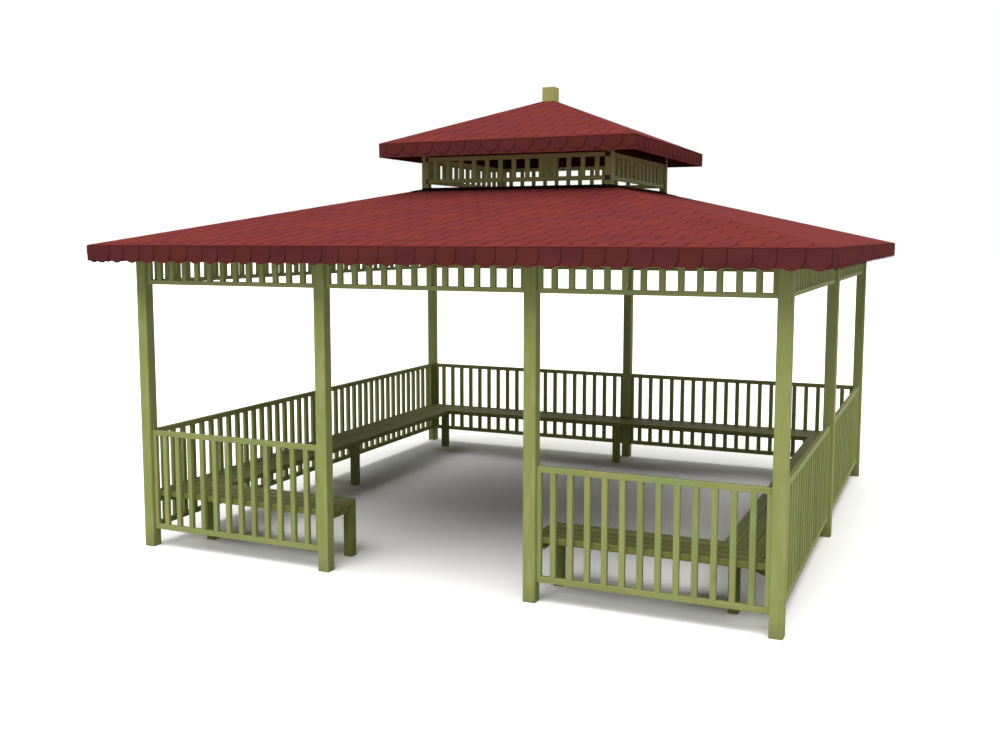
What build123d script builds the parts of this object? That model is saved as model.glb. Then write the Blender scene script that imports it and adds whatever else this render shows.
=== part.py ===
from build123d import *
import os
from dataclasses import dataclass
from math import atan2, degrees, floor, hypot, sqrt

# Garden gazebo: an open square timber frame on nine posts, with slatted railings,
# a slatted frieze, benches round the inside and a hipped roof in two tiers.
# Millimetres, +Z up. The origin is on the ground in the middle of the plan, and
# the open entrance faces -Y.

# Plan of the frame, between the centre lines of the corner posts
frame_width = 5000.0
frame_depth = 5000.0
front_bays = 3
side_bays = 2
post_width = 90.0
post_height = 2345.0
post_chamfer = 4.0

# Slatted railings and friezes, set in the middle of the posts' depth
panel_depth = 34.0
stile_width = 33.0
baluster_width = 40.0
baluster_pitch = 122.0
railing_bottom = 144.0
railing_top = 955.0
railing_rail_height = 42.0
frieze_height = 213.0
frieze_rail_height = 34.0

# Ring beam on the posts
beam_height = 90.0
beam_width = post_width

# Lower roof, whose rafters are notched over the ring beam
lower_overhang = 299.0
lower_roof_rise = 471.0
lower_fascia_height = 120.0
lower_rafter_depth = 72.0
lower_rafter_width = 45.0
lower_rafter_spacing = 700.0
lower_rafter_notch = 30.0
lower_hip_width = 60.0
lower_hip_depth = 105.0
roof_thickness = 30.0
fascia_thickness = 28.0

# Lantern between the two roofs
lantern_width = 1720.0
lantern_depth = lantern_width + frame_depth - frame_width
curb_height = 163.0
curb_upstand = 13.0
lantern_post_width = 60.0
lantern_baluster_width = 35.0
lantern_panel_depth = 25.0
lantern_side_setback = 17.5
lantern_back_setback = 35.0
lantern_rail_height = 36.0
lantern_frieze_gap = 49.0
lantern_frieze_height = 224.0
lantern_beam_height = 130.0

# Upper roof, whose rafters are notched over the lantern's beam and meet on the king post
upper_overhang = 271.0
upper_roof_rise = 422.0
upper_fascia_height = 120.0
upper_rafter_depth = 70.0
upper_rafter_width = 45.0
upper_rafter_spacing = 600.0
upper_rafter_notch = 14.0
upper_hip_width = 45.0
upper_hip_depth = 90.0
king_post_width = 115.0
king_post_chamfer = 3.0
king_post_below_roof = 691.0
king_post_above_roof = 124.0

# Benches round the inside
seat_top = 455.0
seat_board_thickness = 45.0
seat_board_width = 96.0
seat_board_gap = 9.0
seat_board_count = 4
seat_board_chamfer = 3.0
bearer_height = 45.0
bearer_width = 45.0
bearer_notch = 10.0
bench_leg_width = 70.0
corner_leg_setback = 60.0
return_leg_inset_left = 0.0
return_leg_inset_right = 27.0

# Clearances
joint_gap = 0.5
seat_clearance = 3.0
mitre_gap = 2.0

# Values worked out from those above
half_x = frame_width / 2
half_y = frame_depth / 2
half_post = post_width / 2
half_king = king_post_width / 2
lantern_half_x = lantern_width / 2
lantern_half_y = lantern_depth / 2
seat_underside = seat_top - seat_board_thickness
seat_outer = panel_depth / 2 + seat_clearance
seat_inner = seat_outer + seat_board_count * (seat_board_width + seat_board_gap) - seat_board_gap
entrance_half = frame_width / front_bays / 2
reach = frame_width + frame_depth
corners = [(-1, -1), (1, -1), (1, 1), (-1, 1)]


def block(x0, x1, y0, y1, z0, z1):
    """A squared timber between two corners."""
    return Pos((x0 + x1) / 2, (y0 + y1) / 2, (z0 + z1) / 2) * Box(x1 - x0, y1 - y0, z1 - z0)


def square_post(x, y, size, z0, z1, easing=0.0):
    """An upright square timber, with its long edges eased."""
    section = Rectangle(size, size)
    if easing:
        section = chamfer(section.vertices(), easing)
    return extrude(Plane((x, y, z0)) * section, z1 - z0)


def ring(half_long, half_wide, thickness, z0, z1):
    """A square-edged frame seen in plan, given by its outer half sizes."""
    outer = Rectangle(2 * half_long, 2 * half_wide)
    inner = Rectangle(2 * (half_long - thickness), 2 * (half_wide - thickness))
    return extrude(Plane((0, 0, z0)) * (outer - inner), z1 - z0)


def cut_from(shape, cutters):
    for cutter in cutters:
        shape = shape - cutter
    return shape


def diagonals(outer, inner, width):
    """Upright slabs on the four diagonals in plan, from the inner corners out past the outer ones."""
    slabs = []
    for x_sign, y_sign in corners:
        turn = degrees(atan2(y_sign * (outer[1] - inner[1]), x_sign * (outer[0] - inner[0])))
        slab = Pos(reach / 2 - width, 0, 0) * Box(reach, width, 2 * reach)
        slabs.append(Pos(x_sign * inner[0], y_sign * inner[1], 0) * Rot(0, 0, turn) * slab)
    return slabs


def sectors(outer, inner):
    """The four parts of the plan that belong to the four sides, as tall prisms."""
    run = reach / hypot(outer[0] - inner[0], outer[1] - inner[1])
    far = [inner[i] + run * (outer[i] - inner[i]) for i in (0, 1)]
    prisms = {}
    for i, side in enumerate(("front", "right", "back", "left")):
        near, next_one = corners[i], corners[(i + 1) % len(corners)]
        outline = Polyline((near[0] * inner[0], near[1] * inner[1]), (near[0] * far[0], near[1] * far[1]),
                           (next_one[0] * far[0], next_one[1] * far[1]),
                           (next_one[0] * inner[0], next_one[1] * inner[1]), close=True)
        prisms[side] = extrude(make_face(outline), reach)
    return prisms


# Posts: four along the entrance side, and one in the middle of each other side
def span_positions(half, bays):
    """Centre lines of the posts along one side."""
    return [-half + i * 2 * half / bays for i in range(bays + 1)]


front_lines = span_positions(half_x, front_bays)
back_lines = span_positions(half_x, side_bays)
side_lines = span_positions(half_y, side_bays)
post_places = {
    "post_front_left": (front_lines[0], -half_y),
    "post_entrance_left": (front_lines[1], -half_y),
    "post_entrance_right": (front_lines[2], -half_y),
    "post_front_right": (front_lines[3], -half_y),
    "post_left_middle": (-half_x, side_lines[1]),
    "post_right_middle": (half_x, side_lines[1]),
    "post_back_left": (back_lines[0], half_y),
    "post_back_middle": (back_lines[1], half_y),
    "post_back_right": (back_lines[2], half_y),
}
pieces = {name: [square_post(x, y, post_width, 0, post_height, post_chamfer)]
          for name, (x, y) in post_places.items()}


# Railings in every bay but the entrance, and a frieze in every bay
def slatted_panel(length, depth, z0, z1, rail, stile, slat):
    """A panel standing on its own centre line along X: rails, end stiles and slats in one plane."""
    sheet = Rectangle(length, z1 - z0)
    count = floor(length / baluster_pitch)
    first = -baluster_pitch * (count - 1) / 2
    centres = [first + i * baluster_pitch for i in range(count)]
    edges = [-length / 2 + stile - slat / 2] + centres + [length / 2 - stile + slat / 2]
    for left, right in zip(edges, edges[1:]):
        sheet -= Pos((left + right) / 2, 0) * Rectangle(right - left - slat, z1 - z0 - 2 * rail)
    upright = Plane((0, depth / 2, (z0 + z1) / 2), x_dir=(1, 0, 0), z_dir=(0, -1, 0))
    return extrude(upright * sheet, depth)


def railing(length):
    return slatted_panel(length, panel_depth, railing_bottom, railing_top, railing_rail_height,
                         stile_width, baluster_width)


def frieze(length):
    return slatted_panel(length, panel_depth, post_height - frieze_height, post_height, frieze_rail_height,
                         stile_width, baluster_width)


def lantern_frieze(length):
    return slatted_panel(length, lantern_panel_depth, lantern_frieze_bottom, lantern_frieze_top,
                         lantern_rail_height, 0, lantern_baluster_width)


def on_side(side, along, across_x, across_y, panel):
    """Stands a panel in one side of the frame, at a distance from the middle."""
    if side in ("front", "back"):
        return Pos(along, -across_y if side == "front" else across_y, 0) * panel
    return Pos(-across_x if side == "left" else across_x, along, 0) * Rot(0, 0, 90) * panel


def bay_panels(maker, side, bays):
    """Panels between neighbouring posts of one side, for the bays asked for."""
    lines = {"front": front_lines, "back": back_lines}.get(side, side_lines)
    return [on_side(side, (lines[bay] + lines[bay + 1]) / 2, half_x, half_y,
                    maker(lines[bay + 1] - lines[bay] - post_width)) for bay in bays]


bay_counts = {"front": front_bays, "left": side_bays, "back": side_bays, "right": side_bays}
pieces["railing_front_left"] = bay_panels(railing, "front", [0])
pieces["railing_front_right"] = bay_panels(railing, "front", [front_bays - 1])
for side, bays in bay_counts.items():
    if side != "front":
        pieces["railing_" + side] = bay_panels(railing, side, range(bays))
    pieces["frieze_" + side] = bay_panels(frieze, side, range(bays))


# The two tiers of the roof. Each is a hipped surface between a level eave and a level
# crown, covered with four slabs mitred at the hips. Under them run four hip rafters,
# bevelled on top to both slopes, and jack rafters cut to the sides of the hips.
@dataclass
class Roof:
    """One tier, with the half sizes of its eave and its crown, and the beam that carries it."""
    eave: tuple
    crown: tuple
    rise: float
    beam_face: float
    beam_top: float
    rafter_width: float
    rafter_depth: float
    rafter_spacing: float
    rafter_notch: float
    hip_width: float
    hip_depth: float

    def __post_init__(self):
        """Finds the eave's height from the rafters, which sit in their notches on the beam."""
        slope = self.rise / (self.eave[0] - self.crown[0])
        over_beam = self.beam_top - self.rafter_notch + self.rafter_depth + roof_thickness
        self.eave_height = over_beam - slope * (self.eave[0] - self.beam_face)
        self.crown_height = self.eave_height + self.rise

    def under(self, drop):
        """All that lies below the roof surface, lowered by a drop."""
        spans = []
        for axis, plane in enumerate((Plane.XZ, Plane.YZ)):
            low, high = self.eave[axis], self.crown[axis]
            z0, z1 = self.eave_height - drop, self.crown_height - drop
            outline = Polyline((-low, 0), (-low, z0), (-high, z1), (high, z1), (low, z0), (low, 0),
                               close=True)
            spans.append(extrude(plane * make_face(outline), reach, both=True))
        return spans[0] & spans[1]

    def well(self):
        """The open middle inside the crown."""
        return block(-self.crown[0], self.crown[0], -self.crown[1], self.crown[1], 0, reach)

    def slopes(self):
        cover = self.under(0) - self.under(roof_thickness) - self.well()
        return {side: cover & sector for side, sector in sectors(self.eave, self.crown).items()}

    def carcass(self, depth):
        """The space for timbers under the roof slabs, inside the fascia boards."""
        tail_x, tail_y = [half - fascia_thickness for half in self.eave]
        inside = block(-tail_x, tail_x, -tail_y, tail_y, 0, reach)
        return (self.under(roof_thickness) - self.under(roof_thickness + depth)) & inside - self.well()

    def hips(self):
        space = self.carcass(self.hip_depth)
        return [space & slab for slab in diagonals(self.eave, self.crown, self.hip_width)]

    def jacks(self):
        clear_width = self.hip_width + 2 * joint_gap
        space = cut_from(self.carcass(self.rafter_depth), diagonals(self.eave, self.crown, clear_width))
        rafters = []
        for side, sector in sectors(self.eave, self.crown).items():
            along_x = side in ("front", "back")
            half = self.eave[0] if along_x else self.eave[1]
            steps = floor((half - fascia_thickness - self.rafter_width) / self.rafter_spacing)
            for i in range(-steps, steps + 1):
                strip = Box(self.rafter_width, reach, 2 * reach)
                place = Pos(i * self.rafter_spacing, 0, 0)
                if not along_x:
                    place = Rot(0, 0, 90) * place
                rafters.append(space & sector & (place * strip))
        return rafters

    def fascia(self, height):
        """Boards that close the eave, bevelled under the roof slabs and mitred at the corners."""
        boards = ring(*self.eave, fascia_thickness, self.eave_height - height, self.eave_height)
        return cut_from(boards & self.under(roof_thickness), diagonals(self.eave, self.crown, joint_gap))


lower_roof = Roof(
    eave=(half_x + lower_overhang, half_y + lower_overhang), crown=(lantern_half_x, lantern_half_y),
    rise=lower_roof_rise, beam_face=half_x + beam_width / 2, beam_top=post_height + beam_height,
    rafter_width=lower_rafter_width, rafter_depth=lower_rafter_depth,
    rafter_spacing=lower_rafter_spacing, rafter_notch=lower_rafter_notch,
    hip_width=lower_hip_width, hip_depth=lower_hip_depth)
lantern_floor = lower_roof.crown_height
lantern_frieze_bottom = lantern_floor + lantern_frieze_gap
lantern_frieze_top = lantern_frieze_bottom + lantern_frieze_height
lantern_beam_top = lantern_frieze_top + lantern_beam_height
upper_roof = Roof(
    eave=(lantern_half_x + upper_overhang, lantern_half_y + upper_overhang), crown=(half_king, half_king),
    rise=upper_roof_rise, beam_face=lantern_half_x, beam_top=lantern_beam_top,
    rafter_width=upper_rafter_width, rafter_depth=upper_rafter_depth,
    rafter_spacing=upper_rafter_spacing, rafter_notch=upper_rafter_notch,
    hip_width=upper_hip_width, hip_depth=upper_hip_depth)

# Ring beam on the posts, mitred at the corners
beam_ring = ring(half_x + beam_width / 2, half_y + beam_width / 2, beam_width,
                 post_height, post_height + beam_height)
pieces["ring_beam"] = [cut_from(beam_ring, diagonals(lower_roof.eave, lower_roof.crown, joint_gap))]

# Lower roof: its rafters sit over the ring beam in notches and butt on the lantern's curb
pieces["lower_rafters"] = [timber - beam_ring for timber in lower_roof.hips() + lower_roof.jacks()]
pieces["lower_fascia"] = [lower_roof.fascia(lower_fascia_height)]
for side, slope in lower_roof.slopes().items():
    pieces["lower_roof_" + side] = [slope]

# Lantern: a curb that stands up through the roof, posts on it, slatted sides between the
# posts, and beams at their heads that carry the upper roof
curb_top = lantern_floor + curb_upstand
pieces["lantern_curb"] = [ring(lantern_half_x, lantern_half_y, lantern_post_width,
                               curb_top - curb_height, curb_top)]
lantern_posts = [
    square_post(x_sign * (lantern_half_x - lantern_post_width / 2),
                y_sign * (lantern_half_y - lantern_post_width / 2),
                lantern_post_width, curb_top, lantern_beam_top)
    for x_sign, y_sign in corners]
pieces["lantern_posts"] = lantern_posts
lantern_setbacks = {"front": 0, "right": lantern_side_setback,
                    "back": lantern_back_setback, "left": lantern_side_setback}
for side, setback in lantern_setbacks.items():
    width = lantern_width if side in ("front", "back") else lantern_depth
    centre = setback + lantern_panel_depth / 2
    pieces["lantern_frieze_" + side] = [
        on_side(side, 0, lantern_half_x - centre, lantern_half_y - centre,
                lantern_frieze(width - 2 * lantern_post_width))]
beam_space = ring(lantern_half_x, lantern_half_y, lantern_post_width, lantern_frieze_top, lantern_beam_top)
pieces["lantern_beam"] = [cut_from(beam_space, lantern_posts)]

# Upper roof: its rafters run from notches on the lantern beam up to the king post
king_post = square_post(0, 0, king_post_width, upper_roof.crown_height - king_post_below_roof,
                        upper_roof.crown_height + king_post_above_roof)
pieces["king_post"] = [chamfer(king_post.edges().group_by(Axis.Z)[-1], king_post_chamfer)]
pieces["upper_rafters"] = [timber - beam_space for timber in upper_roof.hips() + upper_roof.jacks()]
pieces["upper_fascia"] = [upper_roof.fascia(upper_fascia_height)]
for side, slope in upper_roof.slopes().items():
    pieces["upper_roof_" + side] = [slope]

# Benches: slatted seats with eased boards, mitred at the corners and notched round the posts
frame_corner = (half_x, half_y)
inner_corner = (half_x - seat_inner, half_y - seat_inner)
seat_cuts = diagonals(frame_corner, inner_corner, mitre_gap)
seat_cuts += [square_post(x, y, post_width + 2 * seat_clearance, 0, reach) for x, y in post_places.values()]
seat_cuts += [block(-entrance_half, entrance_half, -half_y, 0, 0, reach)]
seats = {side: [] for side in ("front_left", "front_right", "left", "back", "right")}
for i in range(seat_board_count):
    inset = seat_outer + i * (seat_board_width + seat_board_gap)
    boards = ring(half_x - inset, half_y - inset, seat_board_width, seat_underside, seat_top)
    boards = chamfer(boards.edges().filter_by(Axis.Z, reverse=True), seat_board_chamfer)
    boards = cut_from(boards, seat_cuts)
    for side, sector in sectors(frame_corner, inner_corner).items():
        for board in (boards & sector).solids():
            if side == "front":
                seats["front_left" if board.center().X < 0 else "front_right"].append(board)
            else:
                seats[side].append(board)
for side, boards in seats.items():
    pieces["seat_" + side] = boards


# Bench frames: a leg under the inner board, with a bearer back to a post. The bearers
# in the corners run on the diagonal, and are notched over the corner post's edge.
def bench_frame(leg_x, leg_y, post_x, post_y):
    leg = square_post(leg_x, leg_y, bench_leg_width, 0, seat_underside)
    length = hypot(post_x - leg_x, post_y - leg_y)
    turn = degrees(atan2(post_y - leg_y, post_x - leg_x))
    bearer = Pos(length / 2, 0, -bearer_height / 2) * Box(length, bearer_width, bearer_height)
    frame = leg + Pos(leg_x, leg_y, seat_underside) * Rot(0, 0, turn) * bearer
    return cut_from(frame, [square_post(x, y, post_width, 0, reach) for x, y in post_places.values()])


leg_x = half_x - seat_inner + bench_leg_width / 2
leg_y = half_y - seat_inner + bench_leg_width / 2
wall_x = half_x - half_post
wall_y = half_y - half_post
return_left = -(entrance_half + return_leg_inset_left + bench_leg_width / 2)
return_right = entrance_half + return_leg_inset_right + bench_leg_width / 2
pieces["bench_frames"] = [
    bench_frame(return_left, -leg_y, return_left, -wall_y),
    bench_frame(return_right, -leg_y, return_right, -wall_y),
    bench_frame(-leg_x, side_lines[1], -wall_x, side_lines[1]),
    bench_frame(leg_x, side_lines[1], wall_x, side_lines[1]),
    bench_frame(back_lines[1], leg_y, back_lines[1], wall_y)]
notch_run = bearer_notch / sqrt(2)
pieces["bench_frames"] += [
    bench_frame(x_sign * (leg_x + corner_leg_setback), y_sign * (leg_y + corner_leg_setback),
                x_sign * (wall_x + notch_run), y_sign * (wall_y + notch_run))
    for x_sign, y_sign in corners]

os.makedirs("parts", exist_ok=True)
for name, shapes in pieces.items():
    solids = [solid for shape in shapes for solid in shape.solids()]
    shape = solids[0] if len(solids) == 1 else Compound(children=solids)
    export_step(shape, f"parts/{name}.step")
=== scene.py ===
import math
import random

import bmesh
import bpy
from mathutils import Matrix, Vector


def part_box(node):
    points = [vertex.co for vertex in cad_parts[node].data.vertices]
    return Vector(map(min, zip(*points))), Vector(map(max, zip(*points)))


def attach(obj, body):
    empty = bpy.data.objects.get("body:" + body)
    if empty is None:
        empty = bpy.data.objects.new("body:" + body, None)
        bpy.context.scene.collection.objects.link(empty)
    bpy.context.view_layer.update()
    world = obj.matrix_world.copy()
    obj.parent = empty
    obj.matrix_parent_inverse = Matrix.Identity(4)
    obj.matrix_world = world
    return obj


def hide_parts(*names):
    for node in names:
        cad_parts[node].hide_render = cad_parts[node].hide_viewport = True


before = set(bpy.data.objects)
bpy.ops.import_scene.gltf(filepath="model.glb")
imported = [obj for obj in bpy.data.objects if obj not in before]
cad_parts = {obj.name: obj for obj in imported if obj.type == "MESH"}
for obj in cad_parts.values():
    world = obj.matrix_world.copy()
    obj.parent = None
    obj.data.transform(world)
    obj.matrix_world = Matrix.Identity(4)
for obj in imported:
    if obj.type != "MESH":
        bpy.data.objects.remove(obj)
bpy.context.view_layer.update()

# Posts. Nine squared softwood posts stand on the ground, planed, with eased edges. They are
# stained green, the grain runs up the post, and the foot is a little darker from the ground.


def wire(tree, value, socket):
    """Fills a socket with a plain value or with another node's output."""
    if isinstance(value, bpy.types.NodeSocket):
        tree.links.new(value, socket)
    else:
        socket.default_value = value


def add_node(tree, kind, inputs=None, **settings):
    """Adds a shader node with its settings, and fills its named inputs."""
    made = tree.nodes.new("ShaderNode" + kind)
    for name, value in settings.items():
        setattr(made, name, value)
    for name, value in (inputs or {}).items():
        wire(tree, value, made.inputs[name])
    return made


def maths(tree, operation, first, second=0.0):
    made = add_node(tree, "Math", operation=operation)
    wire(tree, first, made.inputs[0])
    wire(tree, second, made.inputs[1])
    return made.outputs[0]


def vector_maths(tree, operation, first, second):
    made = add_node(tree, "VectorMath", operation=operation)
    wire(tree, first, made.inputs[0])
    wire(tree, second, made.inputs[1])
    return made.outputs[0]


def mix_color(tree, share, first, second, blend="MIX"):
    """Mixes two colours by a share from 0 to 1. Inputs 6 and 7 and output 2 are the node's colours."""
    made = add_node(tree, "Mix", data_type="RGBA", blend_type=blend)
    wire(tree, share, made.inputs[0])
    wire(tree, first, made.inputs[6])
    wire(tree, second, made.inputs[7])
    return made.outputs[2]


def remap(tree, value, span, target):
    """Carries values of one span over to another, each given as where it starts and ends."""
    made = add_node(tree, "MapRange", {"Value": value, "From Min": span[0], "From Max": span[1],
                                       "To Min": target[0], "To Max": target[1]})
    return made.outputs["Result"]


def noise(tree, vector, scale, detail=2.0, roughness=0.5):
    made = add_node(tree, "TexNoise", {"Vector": vector, "Scale": scale, "Detail": detail,
                                       "Roughness": roughness})
    return made.outputs["Fac"]


# Most of a noise lies between these two values.
noise_middle = (0.3, 0.7)


def stretched_noise(tree, vector, stretch, detail=2.0, roughness=0.5):
    return noise(tree, vector_maths(tree, "MULTIPLY", vector, stretch), 1.0, detail, roughness)


def split(tree, vector):
    return add_node(tree, "SeparateXYZ", {"Vector": vector}).outputs


def new_group(name, inputs, outputs):
    """A shader group with named sockets. Returns its tree, its inputs and its output node."""
    tree = bpy.data.node_groups.new(name, "ShaderNodeTree")
    for side, sockets in (("INPUT", inputs), ("OUTPUT", outputs)):
        for label, kind in sockets.items():
            tree.interface.new_socket(label, in_out=side, socket_type="NodeSocket" + kind)
    return tree, tree.nodes.new("NodeGroupInput").outputs, tree.nodes.new("NodeGroupOutput")


def use_group(tree, group, inputs):
    made = tree.nodes.new("ShaderNodeGroup")
    made.node_tree = group
    for name, value in inputs.items():
        wire(tree, value, made.inputs[name])
    return made.outputs


def new_material(name):
    """A material, with its node tree and the Principled BSDF in it."""
    material = bpy.data.materials.new(name)
    material.use_nodes = True
    return material, material.node_tree, material.node_tree.nodes["Principled BSDF"]


def object_place(tree):
    return add_node(tree, "TexCoord").outputs["Object"]


def build_stain():
    """Stain on planed softwood: fibres, patches that took it cooler or warmer, and a few knots."""
    fibre_stretch = (2.2, 70.0, 70.0)
    fibre_share = 0.55
    fibre_roughness = (0.52, 0.68)
    band_stretch = (0.9, 16.0, 16.0)
    band_share = 0.35
    timber_share = 0.35
    pale_to_deep = (0.38, 0.82)
    warm_stretch = (3.1, 14.0, 11.0)
    warm_edge = (0.50, 0.66)
    warm_most = 0.75
    cool_stretch = (4.0, 9.0, 9.0)
    cool_edge = (0.52, 0.70)
    cool_most = 0.8
    knot_stretch = (2.6, 8.0, 8.0)
    knot_edge = (0.05, 0.17)
    knot_dark = 0.45
    knot_sunk = 0.4
    cells_without_knot = 0.62
    tree, given, out = new_group(
        "green stain on grain",
        {"Grain": "Vector", "Tone": "Float", "Pale": "Color", "Deep": "Color", "Cool": "Color",
         "Warm": "Color"},
        {"Color": "Color", "Roughness": "Float", "Height": "Float"})
    grain = given["Grain"]
    fibres = stretched_noise(tree, grain, fibre_stretch, detail=5.0, roughness=0.65)
    bands = stretched_noise(tree, grain, band_stretch)
    cool_patches = stretched_noise(tree, grain, cool_stretch, detail=3.0, roughness=0.6)
    warm_patches = stretched_noise(tree, grain, warm_stretch, roughness=0.55)
    knots = add_node(tree, "TexVoronoi", {
        "Vector": vector_maths(tree, "MULTIPLY", grain, knot_stretch), "Scale": 1.0, "Randomness": 1.0})
    cell = add_node(tree, "SeparateColor", {"Color": knots.outputs["Color"]}).outputs["Red"]
    knot = maths(tree, "MULTIPLY", remap(tree, knots.outputs["Distance"], knot_edge, (1.0, 0.0)),
                 maths(tree, "GREATER_THAN", cell, cells_without_knot))
    depth = maths(tree, "ADD", maths(tree, "MULTIPLY", fibres, fibre_share),
                  maths(tree, "MULTIPLY", bands, band_share))
    depth = maths(tree, "ADD", depth, maths(tree, "MULTIPLY", given["Tone"], timber_share))
    color = mix_color(tree, remap(tree, depth, pale_to_deep, (0.0, 1.0)), given["Pale"], given["Deep"])
    color = mix_color(tree, remap(tree, warm_patches, warm_edge, (0.0, warm_most)), color, given["Warm"])
    color = mix_color(tree, remap(tree, cool_patches, cool_edge, (0.0, cool_most)), color, given["Cool"])
    color = mix_color(tree, maths(tree, "MULTIPLY", knot, knot_dark), color, given["Deep"], "MULTIPLY")
    wire(tree, color, out.inputs["Color"])
    wire(tree, remap(tree, fibres, noise_middle, fibre_roughness), out.inputs["Roughness"])
    wire(tree, maths(tree, "SUBTRACT", fibres, maths(tree, "MULTIPLY", knot, knot_sunk)),
         out.inputs["Height"])
    return tree


def build_grain_from_place():
    """Grain vectors for timbers placed by the plan: up the posts, and along or across each side.

    Inputs 4 and 5 and output 1 of the Mix node are its vectors.
    """
    tree, given, out = new_group("grain from place", {"Place": "Vector"},
                                 {"Upright": "Vector", "Along": "Vector", "Across": "Vector"})
    parts = split(tree, given["Place"])
    on_side = maths(tree, "GREATER_THAN", maths(tree, "ABSOLUTE", parts["X"]),
                    maths(tree, "ABSOLUTE", parts["Y"]))
    swapped = add_node(tree, "CombineXYZ", {"X": parts["Y"], "Y": parts["X"], "Z": parts["Z"]})
    upright = add_node(tree, "CombineXYZ", {"X": parts["Z"], "Y": parts["X"], "Z": parts["Y"]})
    wire(tree, upright.outputs[0], out.inputs["Upright"])
    for label, first, second in (("Along", given["Place"], swapped.outputs[0]),
                                 ("Across", swapped.outputs[0], given["Place"])):
        chosen = add_node(tree, "Mix", data_type="VECTOR")
        wire(tree, on_side, chosen.inputs[0])
        wire(tree, first, chosen.inputs[4])
        wire(tree, second, chosen.inputs[5])
        wire(tree, chosen.outputs[1], out.inputs[label])
    return tree


stain = build_stain()
grain_from_place = build_grain_from_place()
grain_depth = 0.0012
grain_strength = 0.35
foot_soil = (0.16, 0.17, 0.08, 1.0)
foot_soil_heights = (0.02, 0.2)
foot_soil_scale = 30.0
foot_soil_ragged = 0.12
top_shade_tint = (0.40, 0.37, 0.29, 1.0)
top_shade_facings = (0.75, 0.95)


def timber_material(name, stain_colors, direction="Timber", tone_step=0.45, foot_dirt=0.0,
                    top_shade=0.0, gloss=0.2):
    """Stained softwood. The grain follows each timber's own attribute, or its place in the plan. Upward
    faces can be darkened as painted shade.
    """
    material, tree, surface = new_material(name)
    place = object_place(tree)
    if direction == "Timber":
        grain = add_node(tree, "Attribute", attribute_name="grain").outputs["Vector"]
        tone = add_node(tree, "Attribute", attribute_name="tone").outputs["Fac"]
    else:
        grain = use_group(tree, grain_from_place, {"Place": place})[direction]
        section = vector_maths(tree, "MULTIPLY", grain, (0.0, 1.0, 1.0))
        steps = vector_maths(tree, "SNAP", section, (tone_step, tone_step, tone_step))
        tone = add_node(tree, "TexWhiteNoise", {"Vector": steps}, noise_dimensions="3D").outputs["Value"]
    given = {"Grain": grain, "Tone": tone}
    given.update({label: (*color, 1.0) for label, color in stain_colors.items()})
    coat = use_group(tree, stain, given)
    color = coat["Color"]
    if foot_dirt:
        ragged = maths(tree, "MULTIPLY", noise(tree, place, foot_soil_scale), foot_soil_ragged)
        height = maths(tree, "ADD", split(tree, place)["Z"], ragged)
        color = mix_color(tree, remap(tree, height, foot_soil_heights, (foot_dirt, 0.0)), color, foot_soil)
    # Painted shade: faces that point upward are darkened, standing in for the roof's shade on them.
    if top_shade:
        facing = split(tree, add_node(tree, "TexCoord").outputs["Normal"])["Z"]
        color = mix_color(tree, remap(tree, facing, top_shade_facings, (0.0, top_shade)), color, top_shade_tint,
                          "MULTIPLY")
    bump = add_node(tree, "Bump", {"Strength": grain_strength, "Distance": grain_depth,
                                   "Height": coat["Height"]})
    wire(tree, color, surface.inputs["Base Color"])
    wire(tree, coat["Roughness"], surface.inputs["Roughness"])
    wire(tree, bump.outputs["Normal"], surface.inputs["Normal"])
    surface.inputs["Specular IOR Level"].default_value = gloss
    return material


def dress(names, material):
    """Gives carried-over solids their finish."""
    for name in names:
        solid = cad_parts[name]
        solid.data.materials.clear()
        solid.data.materials.append(material)


post_stain = {"Pale": (0.50, 0.55, 0.19), "Deep": (0.39, 0.44, 0.13), "Cool": (0.44, 0.53, 0.20),
              "Warm": (0.50, 0.52, 0.20)}
post_names = sorted(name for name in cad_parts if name.startswith("post_"))
dress(post_names, timber_material("green_post_timber", post_stain, "Upright", foot_dirt=0.5))

# Railings. Each bay has a bottom rail, a handrail and upright slats of planed batten, with a
# thin stile against either post. The battens are glued and pinned in one plane, stained green.
rng = random.Random(7)
side_turns = {"front": 0, "right": 90, "back": 180, "left": -90}
side_posts = {
    "front": ["post_front_left", "post_entrance_left", "post_entrance_right", "post_front_right"],
    "right": ["post_front_right", "post_right_middle", "post_back_right"],
    "back": ["post_back_right", "post_back_middle", "post_back_left"],
    "left": ["post_back_left", "post_left_middle", "post_front_left"],
}
stile_width = 0.033
slat_width = 0.040
slat_pitch = 0.122
railing_rail = 0.042
timber_ease = 0.0022
grain_shift = 40
fine_slack = 1e-6


def turn_to(side):
    """Turns a thing made for the front so that it stands on another side."""
    return Matrix.Rotation(math.radians(side_turns[side]), 4, "Z")


def squared_part(low, high):
    """Starts a part as a squared block between two corners."""
    low, high = Vector(low), Vector(high)
    part = bmesh.new()
    bmesh.ops.create_cube(part, size=1)
    bmesh.ops.scale(part, vec=high - low, verts=part.verts)
    bmesh.ops.translate(part, vec=(low + high) / 2, verts=part.verts)
    return part


def mark_timber(part, order, tone):
    """Stores where each point lies along and across the grain, and the timber's own tone."""
    grain = part.verts.layers.float_vector.new("grain")
    shade = part.verts.layers.float.new("tone")
    shift = Vector([rng.uniform(0, grain_shift) for _ in range(3)])
    for vert in part.verts:
        vert[grain] = Vector([vert.co[axis] for axis in order]) + shift
        vert[shade] = tone


def cut_away(part, cuts):
    """Saws off what lies beyond each plane, and closes the sawn face."""
    for point, normal in cuts:
        if not any((vert.co - Vector(point)).dot(Vector(normal)) > fine_slack for vert in part.verts):
            continue
        sawn = bmesh.ops.bisect_plane(part, geom=part.verts[:] + part.edges[:] + part.faces[:],
                                      dist=fine_slack, plane_co=point, plane_no=normal, clear_outer=True)
        rim = [item for item in sawn["geom_cut"] if isinstance(item, bmesh.types.BMEdge)]
        if rim and part.faces:
            bmesh.ops.holes_fill(part, edges=rim, sides=0)


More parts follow.
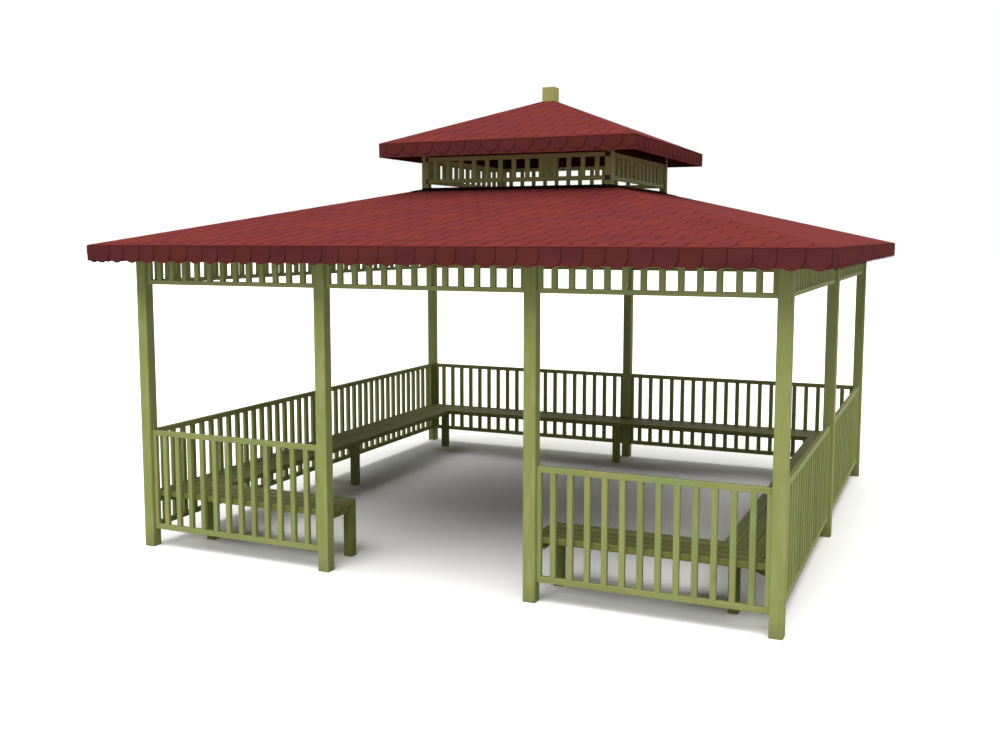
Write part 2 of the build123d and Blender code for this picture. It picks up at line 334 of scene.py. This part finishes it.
def pour_into(bm, part):
    """Adds a finished part to the piece it belongs to."""
    mesh = bpy.data.meshes.new("part")
    part.to_mesh(mesh)
    part.free()
    bm.from_mesh(mesh)
    bpy.data.meshes.remove(mesh)


def add_timber(bm, low, high, along, place=Matrix(), cuts=(), ease=timber_ease):
    """Adds a squared timber between two corners, with its grain along X or Z."""
    part = squared_part(low, high)
    cut_away(part, cuts)
    if not part.faces:
        part.free()
        return
    bmesh.ops.bevel(part, geom=part.edges[:], offset=ease, segments=1, profile=0.5, affect="EDGES",
                    material=-1, clamp_overlap=True)
    bmesh.ops.recalc_face_normals(part, faces=part.faces)
    mark_timber(part, {"X": (0, 1, 2), "Z": (2, 0, 1)}[along], rng.random())
    part.transform(place)
    pour_into(bm, part)


def set_up(bm, name, material, replaced=()):
    """Makes a piece of the model from its finished mesh."""
    mesh = bpy.data.meshes.new(name)
    bm.to_mesh(mesh)
    bm.free()
    mesh.materials.append(material)
    piece = bpy.data.objects.new(name, mesh)
    bpy.context.scene.collection.objects.link(piece)
    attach(piece, "root")
    if replaced:
        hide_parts(*replaced)


def slat_places(start, end, pitch):
    """Middles of the slats that share out a bay, the same distance from either post."""
    count = math.floor((end - start) / pitch + fine_slack)
    first = (start + end - pitch * (count - 1)) / 2
    return [first + number * pitch for number in range(count)]


def add_panel(bm, side, start, end, outer, depth, bottom, top, rail, slat, stile):
    """Adds one bay of slats between two rails, made for the front and turned to its side."""
    place = turn_to(side)
    near, far = -outer, -outer + depth
    for rail_bottom in (bottom, top - rail):
        add_timber(bm, (start, near, rail_bottom), (end, far, rail_bottom + rail), "X", place)
    uprights = [(x - slat / 2, x + slat / 2) for x in slat_places(start, end, slat_pitch)]
    if stile:
        uprights += [(start, start + stile), (end - stile, end)]
    for left, right in uprights:
        add_timber(bm, (left, near, bottom + rail), (right, far, top - rail), "Z", place)


def bays(side):
    """The clear openings between the posts of one side, read as if it were the front."""
    back_to_front = turn_to(side).inverted()
    spans = []
    for name in side_posts[side]:
        corners = [back_to_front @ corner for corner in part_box(name)]
        spans.append((min(c.x for c in corners), max(c.x for c in corners)))
    spans.sort()
    return [(left[1], right[0]) for left, right in zip(spans, spans[1:])]


def panel_plane(side, name):
    """How far out a panel's outer face stands, its depth, and its lower and upper edges."""
    low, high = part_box(name)
    across = 1 if side in ("front", "back") else 0
    return max(abs(low[across]), abs(high[across])), high[across] - low[across], low.z, high.z


batten_stain = {"Pale": (0.47, 0.51, 0.180), "Deep": (0.34, 0.385, 0.120), "Cool": (0.33, 0.49, 0.18),
                "Warm": (0.48, 0.475, 0.175)}
# The rails' upward faces are darkened as painted shade from the roof.
rail_timber = timber_material("green_railing_timber", batten_stain, top_shade=0.75)
railing_bays = {"railing_front_left": ("front", [0]), "railing_front_right": ("front", [2]),
                "railing_right": ("right", [0, 1]), "railing_back": ("back", [0, 1]),
                "railing_left": ("left", [0, 1])}
for name, (side, numbers) in railing_bays.items():
    outer, depth, bottom, top = panel_plane(side, name)
    bm = bmesh.new()
    for number in numbers:
        start, end = bays(side)[number]
        add_panel(bm, side, start, end, outer, depth, bottom, top, railing_rail, slat_width, stile_width)
    set_up(bm, name + "_battens", rail_timber, [name])

# Friezes. Short slats between two thin rails fill the top of every bay, under the ring beam.
# They are the same battens as the railings, pinned between the posts. Their stain is paler
# than the railings' as painted light, lifting the shade under the eave.
frieze_rail = 0.034
frieze_brightened_stain = {"Pale": (0.54, 0.59, 0.215), "Deep": (0.42, 0.47, 0.155), "Cool": (0.42, 0.56, 0.23),
                "Warm": (0.55, 0.55, 0.225)}
frieze_timber = timber_material("green_frieze_timber_painted_light", frieze_brightened_stain)
for side in side_turns:
    name = "frieze_" + side
    outer, depth, bottom, top = panel_plane(side, name)
    bm = bmesh.new()
    for start, end in bays(side):
        add_panel(bm, side, start, end, outer, depth, bottom, top, frieze_rail, slat_width, stile_width)
    set_up(bm, name + "_battens", frieze_timber, [name])

# Ring beam. Four squared beams lie on the posts, mitred at the corners and nailed down, and
# carry the rafters. They are stained like the posts, with the grain along each side.
dress(["ring_beam"], timber_material("green_beam_timber", post_stain, "Along"))

# Rafters. Hip rafters run to the corners, and jack rafters are cut to their sides and notched
# over the beams. All are sawn softwood with a dark red-brown preservative, made near-black as
# painted shade under the roof.
dark_stain_and_shade = {"Pale": (0.055, 0.014, 0.012), "Deep": (0.026, 0.008, 0.007), "Cool": (0.038, 0.011, 0.009),
              "Warm": (0.065, 0.017, 0.012)}
sawn_gloss = 0.01
dress(["lower_rafters", "upper_rafters"],
      timber_material("dark_rafter_timber", dark_stain_and_shade, "Across", gloss=sawn_gloss))

# Roof boards. Planks are nailed across the rafters from eave to crown and mitred at the hips.
# They carry the shingles, and from below they show their dark sawn faces and open joints.
roof_thickness = 0.030
shingle_build = 0.0045
plank_width = 0.118
plank_gap = 0.003
plank_eave_inset = 0.008


def read_tier(tier):
    """The sizes of one tier of the roof, from its front slope, and the plane of that slope."""
    low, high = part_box(tier + "_roof_front")
    sizes = {"eave": -low.y, "crown": -high.y, "eave_top": low.z + roof_thickness}
    rise, run = high.z - sizes["eave_top"], sizes["eave"] - sizes["crown"]
    sizes["length"] = math.hypot(rise, run)
    sizes["pitch"] = math.atan2(rise, run)
    sizes["plane"] = (Matrix.Translation((0, -sizes["eave"], sizes["eave_top"]))
                      @ Matrix.Rotation(sizes["pitch"], 4, "X"))
    return sizes


corner_mitres = [((0, 0, 0), (1, 1, 0)), ((0, 0, 0), (-1, 1, 0))]


def slope_cuts(sizes, eave_inset=0.0):
    """Saw planes of the front slope: plumb at the eave and crown, and down both hips."""
    return [((0, -sizes["eave"] + eave_inset, 0), (0, -1, 0)),
            ((0, -sizes["crown"], 0), (0, 1, 0))] + corner_mitres


def add_plank(bm, low, high, sizes, side, cuts):
    """Adds a plank that lies in the front slope, sawn to it and turned to its side."""
    part = squared_part(low, high)
    mark_timber(part, (0, 1, 2), rng.random())
    part.transform(sizes["plane"])
    cut_away(part, cuts)
    if not part.faces:
        part.free()
        return
    bmesh.ops.recalc_face_normals(part, faces=part.faces)
    part.transform(turn_to(side))
    pour_into(bm, part)


tiers = {tier: read_tier(tier) for tier in ("lower", "upper")}
# The planks' near-black stain is partly painted shade under the roof.
plank_timber = timber_material("dark_roof_planks", dark_stain_and_shade, gloss=sawn_gloss)
for tier, sizes in tiers.items():
    under = -roof_thickness * math.cos(sizes["pitch"])
    rows = math.ceil(sizes["length"] / (plank_width + plank_gap))
    for side in side_turns:
        bm = bmesh.new()
        for row in range(-1, rows + 1):
            y = row * (plank_width + plank_gap)
            add_plank(bm, (-sizes["eave"], y, under), (sizes["eave"], y + plank_width, -shingle_build),
                      sizes, side, slope_cuts(sizes, plank_eave_inset))
        set_up(bm, f"{tier}_planks_{side}", plank_timber, [f"{tier}_roof_{side}"])

# Fascias. A board closes each eave. Two layers of red shingle strip are nailed on its face,
# plain tabs under round-ended ones. On the lower roof the round ends hang below the board.
tab_pitch = 0.149
tab_round_steps = 5
tab_round_share = 0.495
side_lap = 0.001
granule_depth = 0.0008
granule_strength = 0.5
shingle_gloss = 0.02


def build_granules():
    """Red mineral granules on a shingle, mottled, with a painted shadow line round the tab's raised side.
    """
    grit_scale = 420.0
    grit_span = (0.25, 0.75)
    grit_shades = (0.8, 1.2)
    grit_roughness = (0.82, 0.96)
    tab_tint_most = 0.8
    smudge_scale = 2.6
    smudge_edge = (0.45, 0.65)
    smudge_shades = (0.9, 1.1)
    weather_scale = 1.1
    weather_edge = (0.45, 0.62)
    patch_most = 0.6
    shadow_line_widths = (0.002, 0.006)
    shadow_line_side_full = 0.07
    shadow_line_end_fade = 0.03
    tree, given, out = new_group(
        "mineral granules",
        {"Place": "Vector", "Patches": "Vector", "Tab": "Vector", "Tone": "Float", "Base": "Color",
         "Warm": "Color", "Blue": "Color", "Shadow Line Start": "Float", "Shadow Line Reach": "Float",
         "Shadow Line Dark": "Float"},
        {"Color": "Color", "Roughness": "Float", "Height": "Float"})
    speckle = noise(tree, given["Place"], grit_scale, roughness=0.7)
    smudge = noise(tree, given["Patches"], smudge_scale, detail=3.0, roughness=0.55)
    weather = noise(tree, given["Patches"], weather_scale)
    warmer = remap(tree, given["Tone"], (0.0, 0.5), (tab_tint_most, 0.0))
    bluer = remap(tree, given["Tone"], (0.5, 1.0), (0.0, tab_tint_most))
    color = mix_color(tree, warmer, given["Base"], given["Warm"])
    color = mix_color(tree, bluer, color, given["Blue"])
    color = mix_color(tree, remap(tree, smudge, smudge_edge, (0.0, patch_most)), color, given["Warm"])
    color = mix_color(tree, remap(tree, weather, weather_edge, (0.0, patch_most)), color, given["Blue"])
    grit = maths(tree, "MULTIPLY", remap(tree, speckle, grit_span, grit_shades),
                 remap(tree, smudge, noise_middle, smudge_shades))
    # Painted shadow: a dark line round the rim of the tab's raised side, where its edge casts shade.
    on_tab = split(tree, given["Tab"])
    below = maths(tree, "MINIMUM", maths(tree, "SUBTRACT", on_tab["Y"], on_tab["Z"]), 0.0)
    radius = maths(tree, "SQRT", maths(tree, "ADD", maths(tree, "MULTIPLY", on_tab["X"], on_tab["X"]),
                                       maths(tree, "MULTIPLY", below, below)))
    line = remap(tree, maths(tree, "SUBTRACT", on_tab["Z"], radius), shadow_line_widths, (1.0, 0.0))
    raised_side = remap(tree, on_tab["X"], (given["Shadow Line Start"], shadow_line_side_full), (0.0, 1.0))
    line = maths(tree, "MULTIPLY", line, raised_side)
    to_end = maths(tree, "SUBTRACT", given["Shadow Line Reach"], on_tab["Y"])
    line = maths(tree, "MULTIPLY", line, remap(tree, to_end, (0.0, shadow_line_end_fade), (0.0, 1.0)))
    unlined = maths(tree, "SUBTRACT", 1.0, maths(tree, "MULTIPLY", line, given["Shadow Line Dark"]))
    grit = maths(tree, "MULTIPLY", grit, unlined)
    shade = add_node(tree, "CombineColor", {"Red": grit, "Green": grit, "Blue": grit}).outputs["Color"]
    wire(tree, mix_color(tree, 1.0, color, shade, "MULTIPLY"), out.inputs["Color"])
    wire(tree, remap(tree, speckle, noise_middle, grit_roughness), out.inputs["Roughness"])
    wire(tree, speckle, out.inputs["Height"])
    return tree


granules = build_granules()


def shingle_material(name, colors, stretch, shadow_line_start, shadow_line_reach, shadow_line_dark):
    """Shingle with red granules. Its patches are stretched, and its painted shadow line runs from start to
    reach.
    """
    material, tree, surface = new_material(name)
    place = object_place(tree)
    given = {"Place": place, "Patches": vector_maths(tree, "MULTIPLY", place, stretch),
             "Tab": add_node(tree, "Attribute", attribute_name="tab").outputs["Vector"],
             "Tone": add_node(tree, "Attribute", attribute_name="tone").outputs["Fac"],
             "Shadow Line Start": shadow_line_start, "Shadow Line Reach": shadow_line_reach, "Shadow Line Dark": shadow_line_dark}
    given.update({label: (*color, 1.0) for label, color in colors.items()})
    face = use_group(tree, granules, given)
    bump = add_node(tree, "Bump", {"Strength": granule_strength, "Distance": granule_depth,
                                   "Height": face["Height"]})
    wire(tree, face["Color"], surface.inputs["Base Color"])
    wire(tree, face["Roughness"], surface.inputs["Roughness"])
    wire(tree, bump.outputs["Normal"], surface.inputs["Normal"])
    surface.inputs["Specular IOR Level"].default_value = shingle_gloss
    return material


def add_tab(bm, left, right, bottom, top, place, cuts, thickness, rounded=True, lean=0.0, lift=0.0):
    """Adds one shingle tab. It is made flat, X along the eave and Y up, then set in its place."""
    width, length = right - left, top - bottom
    part = squared_part((-width / 2, 0, 0), (width / 2, length, thickness))
    if rounded:
        ends = [edge for edge in part.edges
                if all(vert.co.y < length / 2 for vert in edge.verts)
                and abs(edge.verts[0].co.x - edge.verts[1].co.x) < width / 2]
        bmesh.ops.bevel(part, geom=ends, offset=tab_round_share * width, segments=tab_round_steps,
                        profile=0.5, affect="EDGES", material=-1, clamp_overlap=True)
    outline = part.verts.layers.float_vector.new("tab")
    shade = part.verts.layers.float.new("tone")
    tone = rng.random()
    rise = 0.0 if rounded else width / 2
    for vert in part.verts:
        vert[outline] = (vert.co.x, vert.co.y + rise, width / 2)
        vert[shade] = tone
    set_lean = Matrix.Rotation(-math.atan2(lean, width), 4, "Y")
    set_lift = Matrix.Rotation(-math.atan2(lift, length), 4, "X")
    put = Matrix.Translation(((left + right) / 2, bottom, lean / 2 + lift))
    part.transform(put @ set_lift @ set_lean)
    part.transform(place)
    cut_away(part, cuts)
    if not part.faces:
        part.free()
        return
    pour_into(bm, part)


def strip_joints(start, end, pitch, first):
    """Places where one tab ends and the next begins, cut by hand and so a little uneven.

    No joint is set out in the last third of a pitch, so the last tab isn't a sliver.
    """
    joints = [start]
    at = start + first
    while at < end - pitch / 3:
        joints.append(at + rng.uniform(-strip_uneven, strip_uneven) * pitch)
        at += pitch
    return joints + [end]


def turned_cuts(cuts, place):
    """Saw planes made for the front, turned with the side that they belong to."""
    return [(place @ Vector(point), place.to_3x3() @ Vector(normal)) for point, normal in cuts]


strip_colors = {"Base": (0.157, 0.0355, 0.0335), "Warm": (0.167, 0.038, 0.0295),
                "Blue": (0.146, 0.0355, 0.041)}
# The strips carry a painted shadow line round the raised side of each round end.
strip_face = shingle_material("red_fascia_shingle", strip_colors, stretch=(1.0, 1.0, 3.0),
                              shadow_line_start=0.03, shadow_line_reach=1.0, shadow_line_dark=0.55)
strip_gaps = {"back": 0.004, "front": 0.0015}
strip_thickness = 0.003
strip_uneven = 0.09
strip_top_drop = 0.002
fascia_board = 0.022
board_top_drop = 0.012
board_ease = 0.001
strip_space = 0.008
strip_sizes = {"lower": {"back": 0.004, "front": 0.018, "first": 0.078},
               "upper": {"back": 0.0, "front": -0.020, "first": 0.075}}
for tier, sizes in tiers.items():
    strip = strip_sizes[tier]
    board_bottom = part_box(tier + "_fascia")[0].z
    board_face = sizes["eave"] - strip_space
    top = sizes["eave_top"] - strip_top_drop
    boards, strips = bmesh.new(), bmesh.new()
    for side in side_turns:
        turned = turn_to(side)
        add_timber(boards, (-board_face, -board_face, board_bottom),
                   (board_face, -board_face + fascia_board, top - board_top_drop), "X", turned,
                   corner_mitres, board_ease)
        side_mitres = turned_cuts(corner_mitres, turned)
        for layer, first in (("back", strip["first"] + tab_pitch / 2), ("front", strip["first"])):
            stand = board_face + (strip_thickness if layer == "front" else 0.0)
            foot = board_bottom - strip[layer]
            upright = turned @ Matrix.Translation((0, -stand, foot)) @ Matrix.Rotation(math.pi / 2, 4, "X")
            joints = strip_joints(-sizes["eave"], sizes["eave"], tab_pitch, first)
            for number, (left, right) in enumerate(zip(joints, joints[1:])):
                # The first front piece at each corner is plain and ends level with the board.
                rounded = layer == "front" and number > 0
                bottom = 0 if rounded or layer == "back" else strip["front"]
                inset = strip_gaps[layer] / 2
                add_tab(strips, left + inset, right - inset, bottom, top - foot, upright,
                        side_mitres, strip_thickness, rounded, lean=side_lap if rounded else 0.0)
    set_up(boards, tier + "_fascia_boards", strip_face, [tier + "_fascia"])
    set_up(strips, tier + "_fascia_tabs", strip_face)

# Shingles. Courses of round-ended tabs are nailed up each slope from a plain starter course,
# each over the heads of the one below, half a tab aside, and cut to the hips and the crown.
course_height = 0.147
first_course = 0.004
tab_length = 0.240
tab_gap = 0.002
tab_thickness = 0.0014
tab_uneven = 0.06
course_lift = 0.0009
course_lean = 0.0012
starter_pieces = 4
starter_overhang = 0.005
starter_head = 0.1
shingle_colors = {"Base": (0.160, 0.0275, 0.0255), "Warm": (0.170, 0.031, 0.0235),
                  "Blue": (0.150, 0.0275, 0.030)}
# The tabs carry a painted shadow line round the raised side of each round end.
shingles = shingle_material("red_shingle", shingle_colors, stretch=(1.0, 1.0, 14.0),
                            shadow_line_start=0.056, shadow_line_reach=0.125, shadow_line_dark=0.9)
for tier, sizes in tiers.items():
    courses = math.ceil(sizes["length"] / course_height)
    starter_length = 2 * sizes["eave"] / starter_pieces
    for side in side_turns:
        bm = bmesh.new()
        place = turn_to(side)
        cuts = turned_cuts(slope_cuts(sizes), place)
        lay = place @ sizes["plane"] @ Matrix.Translation((0, 0, -shingle_build))
        for number in range(starter_pieces):
            left = (number - starter_pieces / 2) * starter_length
            add_tab(bm, left, left + starter_length, -starter_overhang, starter_head, lay, cuts,
                    tab_thickness, rounded=False)
        for course in range(courses):
            bottom = first_course + course * course_height
            reach = sizes["eave"] - bottom * math.cos(sizes["pitch"]) + tab_pitch
            offset = tab_pitch / 2 if course % 2 else 0.0
            columns = math.ceil(reach / tab_pitch)
            joints = [number * tab_pitch + offset + rng.uniform(-tab_uneven, tab_uneven) * tab_pitch
                      for number in range(-columns - 1, columns + 1)]
            for left, right in zip(joints, joints[1:]):
                add_tab(bm, left + tab_gap / 2, right - tab_gap / 2, bottom, bottom + tab_length, lay,
                        cuts, tab_thickness, lean=course_lean, lift=course_lift)
        set_up(bm, f"{tier}_shingles_{side}", shingles)

# Flashing. A strip of black bitumen felt is dressed round the foot of the lantern, over the
# top course of shingles. Its near-black colour is also painted shade, for the lantern's contact
# shadow on the roof. The curb stands up through it, stained as dark as the rafters, which is
# partly painted shade.
curb_timber = timber_material("dark_beam_timber", dark_stain_and_shade, "Along", gloss=sawn_gloss)
dress(["lantern_curb"], curb_timber)
# Painted shade: the felt is near-black to stand in for the contact shadow at the lantern's foot.
felt_shade_black = (0.009, 0.004, 0.004, 1.0)
felt_dust = (0.030, 0.010, 0.009, 1.0)
felt_dust_scale = 14.0
felt_dust_edge = (0.4, 0.75)
felt_dust_most = 0.8
felt_roughness = 0.9
felt, tree, surface = new_material("black_felt_painted_shade")
dust = noise(tree, object_place(tree), felt_dust_scale, detail=4.0, roughness=0.6)
wire(tree, mix_color(tree, remap(tree, dust, felt_dust_edge, (0.0, felt_dust_most)), felt_shade_black, felt_dust),
     surface.inputs["Base Color"])
surface.inputs["Roughness"].default_value = felt_roughness
surface.inputs["Specular IOR Level"].default_value = 0.0
felt_reach = 0.075
felt_past_crown = 0.02
felt_under = 0.001
felt_over = 0.0015
sizes = tiers["lower"]
crown_cut = ((0, -sizes["crown"], 0), (0, 1, 0))
bm = bmesh.new()
for side in side_turns:
    add_plank(bm, (-sizes["eave"], sizes["length"] - felt_reach, -felt_under),
              (sizes["eave"], sizes["length"] + felt_past_crown, felt_over), sizes, side,
              [crown_cut] + corner_mitres)
set_up(bm, "lantern_flashing_painted_shade", felt)

# Lantern. Four small posts on the curb carry the upper roof, with a dark head beam and slatted
# sides between them. The slats stop short of the roof below, and black steel plates cover the
# front joints of their rails.
lantern_slats = {"front": 0.035, "right": 0.045, "back": 0.035, "left": 0.045}
lantern_rail = 0.036
lantern_post = 0.060
# Painted shade and reflection: this stain is darker and browner, for the roof's shade and red light.
lantern_shade_stain = {"Pale": (0.50, 0.485, 0.190), "Deep": (0.37, 0.365, 0.13), "Cool": (0.39, 0.43, 0.17),
                 "Warm": (0.50, 0.45, 0.20)}
# The head beam takes the rafters' near-black stain, partly painted shade.
dress(["lantern_beam"], curb_timber)
dress(["lantern_posts"], timber_material("lantern_posts_painted_shade", lantern_shade_stain, "Upright"))
lantern_timber = timber_material("lantern_timber_painted_shade", lantern_shade_stain)
lantern_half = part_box("lantern_posts")[1].x - lantern_post
for side in side_turns:
    name = "lantern_frieze_" + side
    outer, depth, bottom, top = panel_plane(side, name)
    bm = bmesh.new()
    add_panel(bm, side, -lantern_half, lantern_half, outer, depth, bottom, top, lantern_rail,
              lantern_slats[side], 0)
    set_up(bm, name + "_battens", lantern_timber, [name])

steel_black = (0.012, 0.012, 0.012, 1.0)
steel_rust = (0.04, 0.022, 0.014, 1.0)
rust_scale = 90.0
rust_edge = (0.45, 0.75)
rust_most = 0.6
steel_roughness = (0.35, 0.6)
steel_metallic = 0.6
steel, tree, surface = new_material("black_joint_steel")
rust = noise(tree, object_place(tree), rust_scale, detail=3.0)
wire(tree, mix_color(tree, remap(tree, rust, rust_edge, (0.0, rust_most)), steel_black, steel_rust),
     surface.inputs["Base Color"])
wire(tree, remap(tree, rust, noise_middle, steel_roughness), surface.inputs["Roughness"])
surface.inputs["Metallic"].default_value = steel_metallic
plate_thickness = 0.002
plate_height = 0.040
plate_ease = 0.0006
plate_clear = 0.001
left_plate_end = 0.020
right_plate_end = 0.045
head_sides = 12
head_height = 0.0016
plate_head_radii = (0.0035, 0.002)
plate_head_drop = 0.011
plate_head_proud = 0.0006
outer, depth, bottom, top = panel_plane("front", "lantern_frieze_front")
bm = bmesh.new()
for left, right in ((-lantern_half - left_plate_end, -lantern_half - plate_clear),
                    (lantern_half + plate_clear, lantern_half + right_plate_end)):
    for middle in (bottom + lantern_rail / 2, top - lantern_rail / 2):
        add_timber(bm, (left, -outer - plate_thickness, middle - plate_height / 2),
                   (right, -outer, middle + plate_height / 2), "Z", ease=plate_ease)
        for drop in (-plate_head_drop, plate_head_drop):
            place = Matrix.Translation(((left + right) / 2, -outer - plate_thickness - plate_head_proud,
                                        middle + drop))
            bmesh.ops.create_cone(bm, cap_ends=True, segments=head_sides, radius1=plate_head_radii[0],
                                  radius2=plate_head_radii[1], depth=head_height,
                                  matrix=place @ Matrix.Rotation(math.pi / 2, 4, "X"))
set_up(bm, "lantern_joint_plates", steel)

# King post. A squared post hangs in the middle of the lantern, with the upper rafters fixed to
# it. Its head stands out of the shingles as a plain block, paler than the rest of the timber.
king_stain = {"Pale": (0.52, 0.52, 0.170), "Deep": (0.45, 0.46, 0.145), "Cool": (0.46, 0.50, 0.175),
              "Warm": (0.54, 0.49, 0.185)}
dress(["king_post"], timber_material("pale_king_post", king_stain, "Upright"))

# Benches. Four planed boards run round three sides and both front bays, mitred at the corners,
# on legs with bearers back to the posts. Screws hold each board to the bearers.
# Painted shade: the benches' stain is much darker than the posts', for the shade under the roof.
bench_shade_stain = {"Pale": (0.30, 0.32, 0.092), "Deep": (0.19, 0.205, 0.055), "Cool": (0.21, 0.275, 0.080),
               "Warm": (0.30, 0.285, 0.089)}
leg_shade_stain = {"Pale": (0.30, 0.345, 0.094), "Deep": (0.19, 0.225, 0.057), "Cool": (0.21, 0.295, 0.082),
             "Warm": (0.31, 0.325, 0.090)}
board_step = 0.105
seat_names = sorted(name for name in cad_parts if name.startswith("seat_"))
dress(seat_names, timber_material("bench_boards_painted_shade", bench_shade_stain, "Along", board_step, top_shade=0.8))
dress(["bench_frames"], timber_material("bench_legs_painted_shade", leg_shade_stain, "Upright"))
corner_weld = 1e-5


def solids_of(name):
    """The lowest and highest corner of each separate solid in a carried-over node, in order."""
    whole = bmesh.new()
    whole.from_mesh(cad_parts[name].data)
    bmesh.ops.remove_doubles(whole, verts=whole.verts, dist=corner_weld)
    boxes, seen = [], set()
    for first in whole.verts:
        if first in seen:
            continue
        seen.add(first)
        reached = [first]
        for vert in reached:
            for edge in vert.link_edges:
                other = edge.other_vert(vert)
                if other not in seen:
                    seen.add(other)
                    reached.append(other)
        places = [vert.co for vert in reached]
        boxes.append([Vector([pick(place[axis] for place in places) for axis in range(3)])
                      for pick in (min, max)])
    whole.free()
    return boxes


screw_radius = 0.0045
screw_taper = 0.8
screw_spread = 0.024
screw_from_mitre = 0.045
widest_bearer = 0.1
bearer_reach = 0.01
across_axis = {"seat_left": 0, "seat_right": 0, "seat_back": 1, "seat_front_left": 1, "seat_front_right": 1}
bearers = solids_of("bench_frames")
bm = bmesh.new()
for name, across in across_axis.items():
    along = 1 - across
    for board_low, board_high in solids_of(name):
        line = (board_low[across] + board_high[across]) / 2
        spots = [sign * (abs(line) - screw_from_mitre) for sign in (-1, 1)]
        for low, high in bearers:
            straight = high[along] - low[along] < widest_bearer
            if straight and low[across] - bearer_reach < line < high[across] + bearer_reach:
                spots.append((low[along] + high[along]) / 2)
        for spot in spots:
            if not board_low[along] < spot < board_high[along]:
                continue
            for offset in (-screw_spread, screw_spread):
                place = [0.0, 0.0, board_high.z]
                place[along], place[across] = spot, line + offset
                bmesh.ops.create_cone(bm, cap_ends=True, segments=head_sides, radius1=screw_radius,
                                      radius2=screw_taper * screw_radius, depth=head_height,
                                      matrix=Matrix.Translation(place))
set_up(bm, "bench_screws", steel)

# Floor, light and camera. A pale floor takes the shadow. An even sky and four broad soft lamps,
# one from each side, light the gazebo, and the camera looks from the photograph's angle.
floor_reach = 120.0
floor_seen = (1.2, 1.19, 1.18, 1.0)
floor_bounce = (0.32, 0.31, 0.31, 1.0)
floor_mesh = bpy.data.meshes.new("floor")
bm = bmesh.new()
bmesh.ops.create_grid(bm, x_segments=4, y_segments=4, size=floor_reach)
bm.to_mesh(floor_mesh)
bm.free()
floor = bpy.data.objects.new("floor", floor_mesh)
bpy.context.scene.collection.objects.link(floor)
floor_material = bpy.data.materials.new("pale_floor")
floor_material.use_nodes = True
tree = floor_material.node_tree
tree.nodes.clear()
shown = add_node(tree, "BsdfDiffuse", {"Color": floor_seen})
bounced = add_node(tree, "BsdfDiffuse", {"Color": floor_bounce})
floor_mix = add_node(tree, "MixShader", {"Fac": add_node(tree, "LightPath").outputs["Is Camera Ray"]})
wire(tree, bounced.outputs[0], floor_mix.inputs[1])
wire(tree, shown.outputs[0], floor_mix.inputs[2])
wire(tree, floor_mix.outputs[0], add_node(tree, "OutputMaterial").inputs["Surface"])
floor.data.materials.append(floor_material)

white = (1.0, 1.0, 1.0, 1.0)
sky_strength = 0.285
world = bpy.data.worlds.new("studio")
bpy.context.scene.world = world
world.use_nodes = True
tree = world.node_tree
tree.nodes.clear()
sky = add_node(tree, "Background", {"Color": white, "Strength": sky_strength})
backdrop = add_node(tree, "Background", {"Color": white, "Strength": 1.0})
rays = add_node(tree, "LightPath").outputs
seen = maths(tree, "MAXIMUM", maths(tree, "MAXIMUM", rays["Is Camera Ray"], rays["Is Glossy Ray"]),
             rays["Is Transmission Ray"])
sky_mix = add_node(tree, "MixShader", {"Fac": seen})
wire(tree, sky.outputs[0], sky_mix.inputs[1])
wire(tree, backdrop.outputs[0], sky_mix.inputs[2])
wire(tree, sky_mix.outputs[0], add_node(tree, "OutputWorld").inputs["Surface"])

lamp_height = math.radians(61)
lamp_softness = math.radians(40)
lamp_strengths = {"front": 2.0, "right": 1.03, "back": 0.65, "left": 0.85}
for side, strength in lamp_strengths.items():
    lamp_data = bpy.data.lights.new("lamp_" + side, "SUN")
    lamp_data.energy = strength
    lamp_data.angle = lamp_softness
    lamp = bpy.data.objects.new("lamp_" + side, lamp_data)
    lamp.rotation_euler = (math.pi / 2 - lamp_height, 0, math.radians(side_turns[side]))
    bpy.context.scene.collection.objects.link(lamp)

image_width = 1000
image_height = 749
focal_pixels = 1060.83
principal_point = (495.37, 349.13)
camera_place = (3.4980, -9.1153, 2.5015)
camera_down = 0.1048
camera_turn = 0.4175
camera_data = bpy.data.cameras.new("camera")
camera_data.sensor_width = 36.0
camera_data.lens = camera_data.sensor_width * focal_pixels / image_width
camera_data.shift_x = (image_width / 2 - principal_point[0]) / image_width
camera_data.shift_y = (principal_point[1] - image_height / 2) / image_width
camera_data.clip_end = 400.0
camera = bpy.data.objects.new("camera", camera_data)
camera.location = camera_place
camera.rotation_euler = (math.pi / 2 - camera_down, 0.0, camera_turn)
bpy.context.scene.collection.objects.link(camera)
bpy.context.scene.camera = camera
bpy.context.scene.view_settings.view_transform = "Standard"
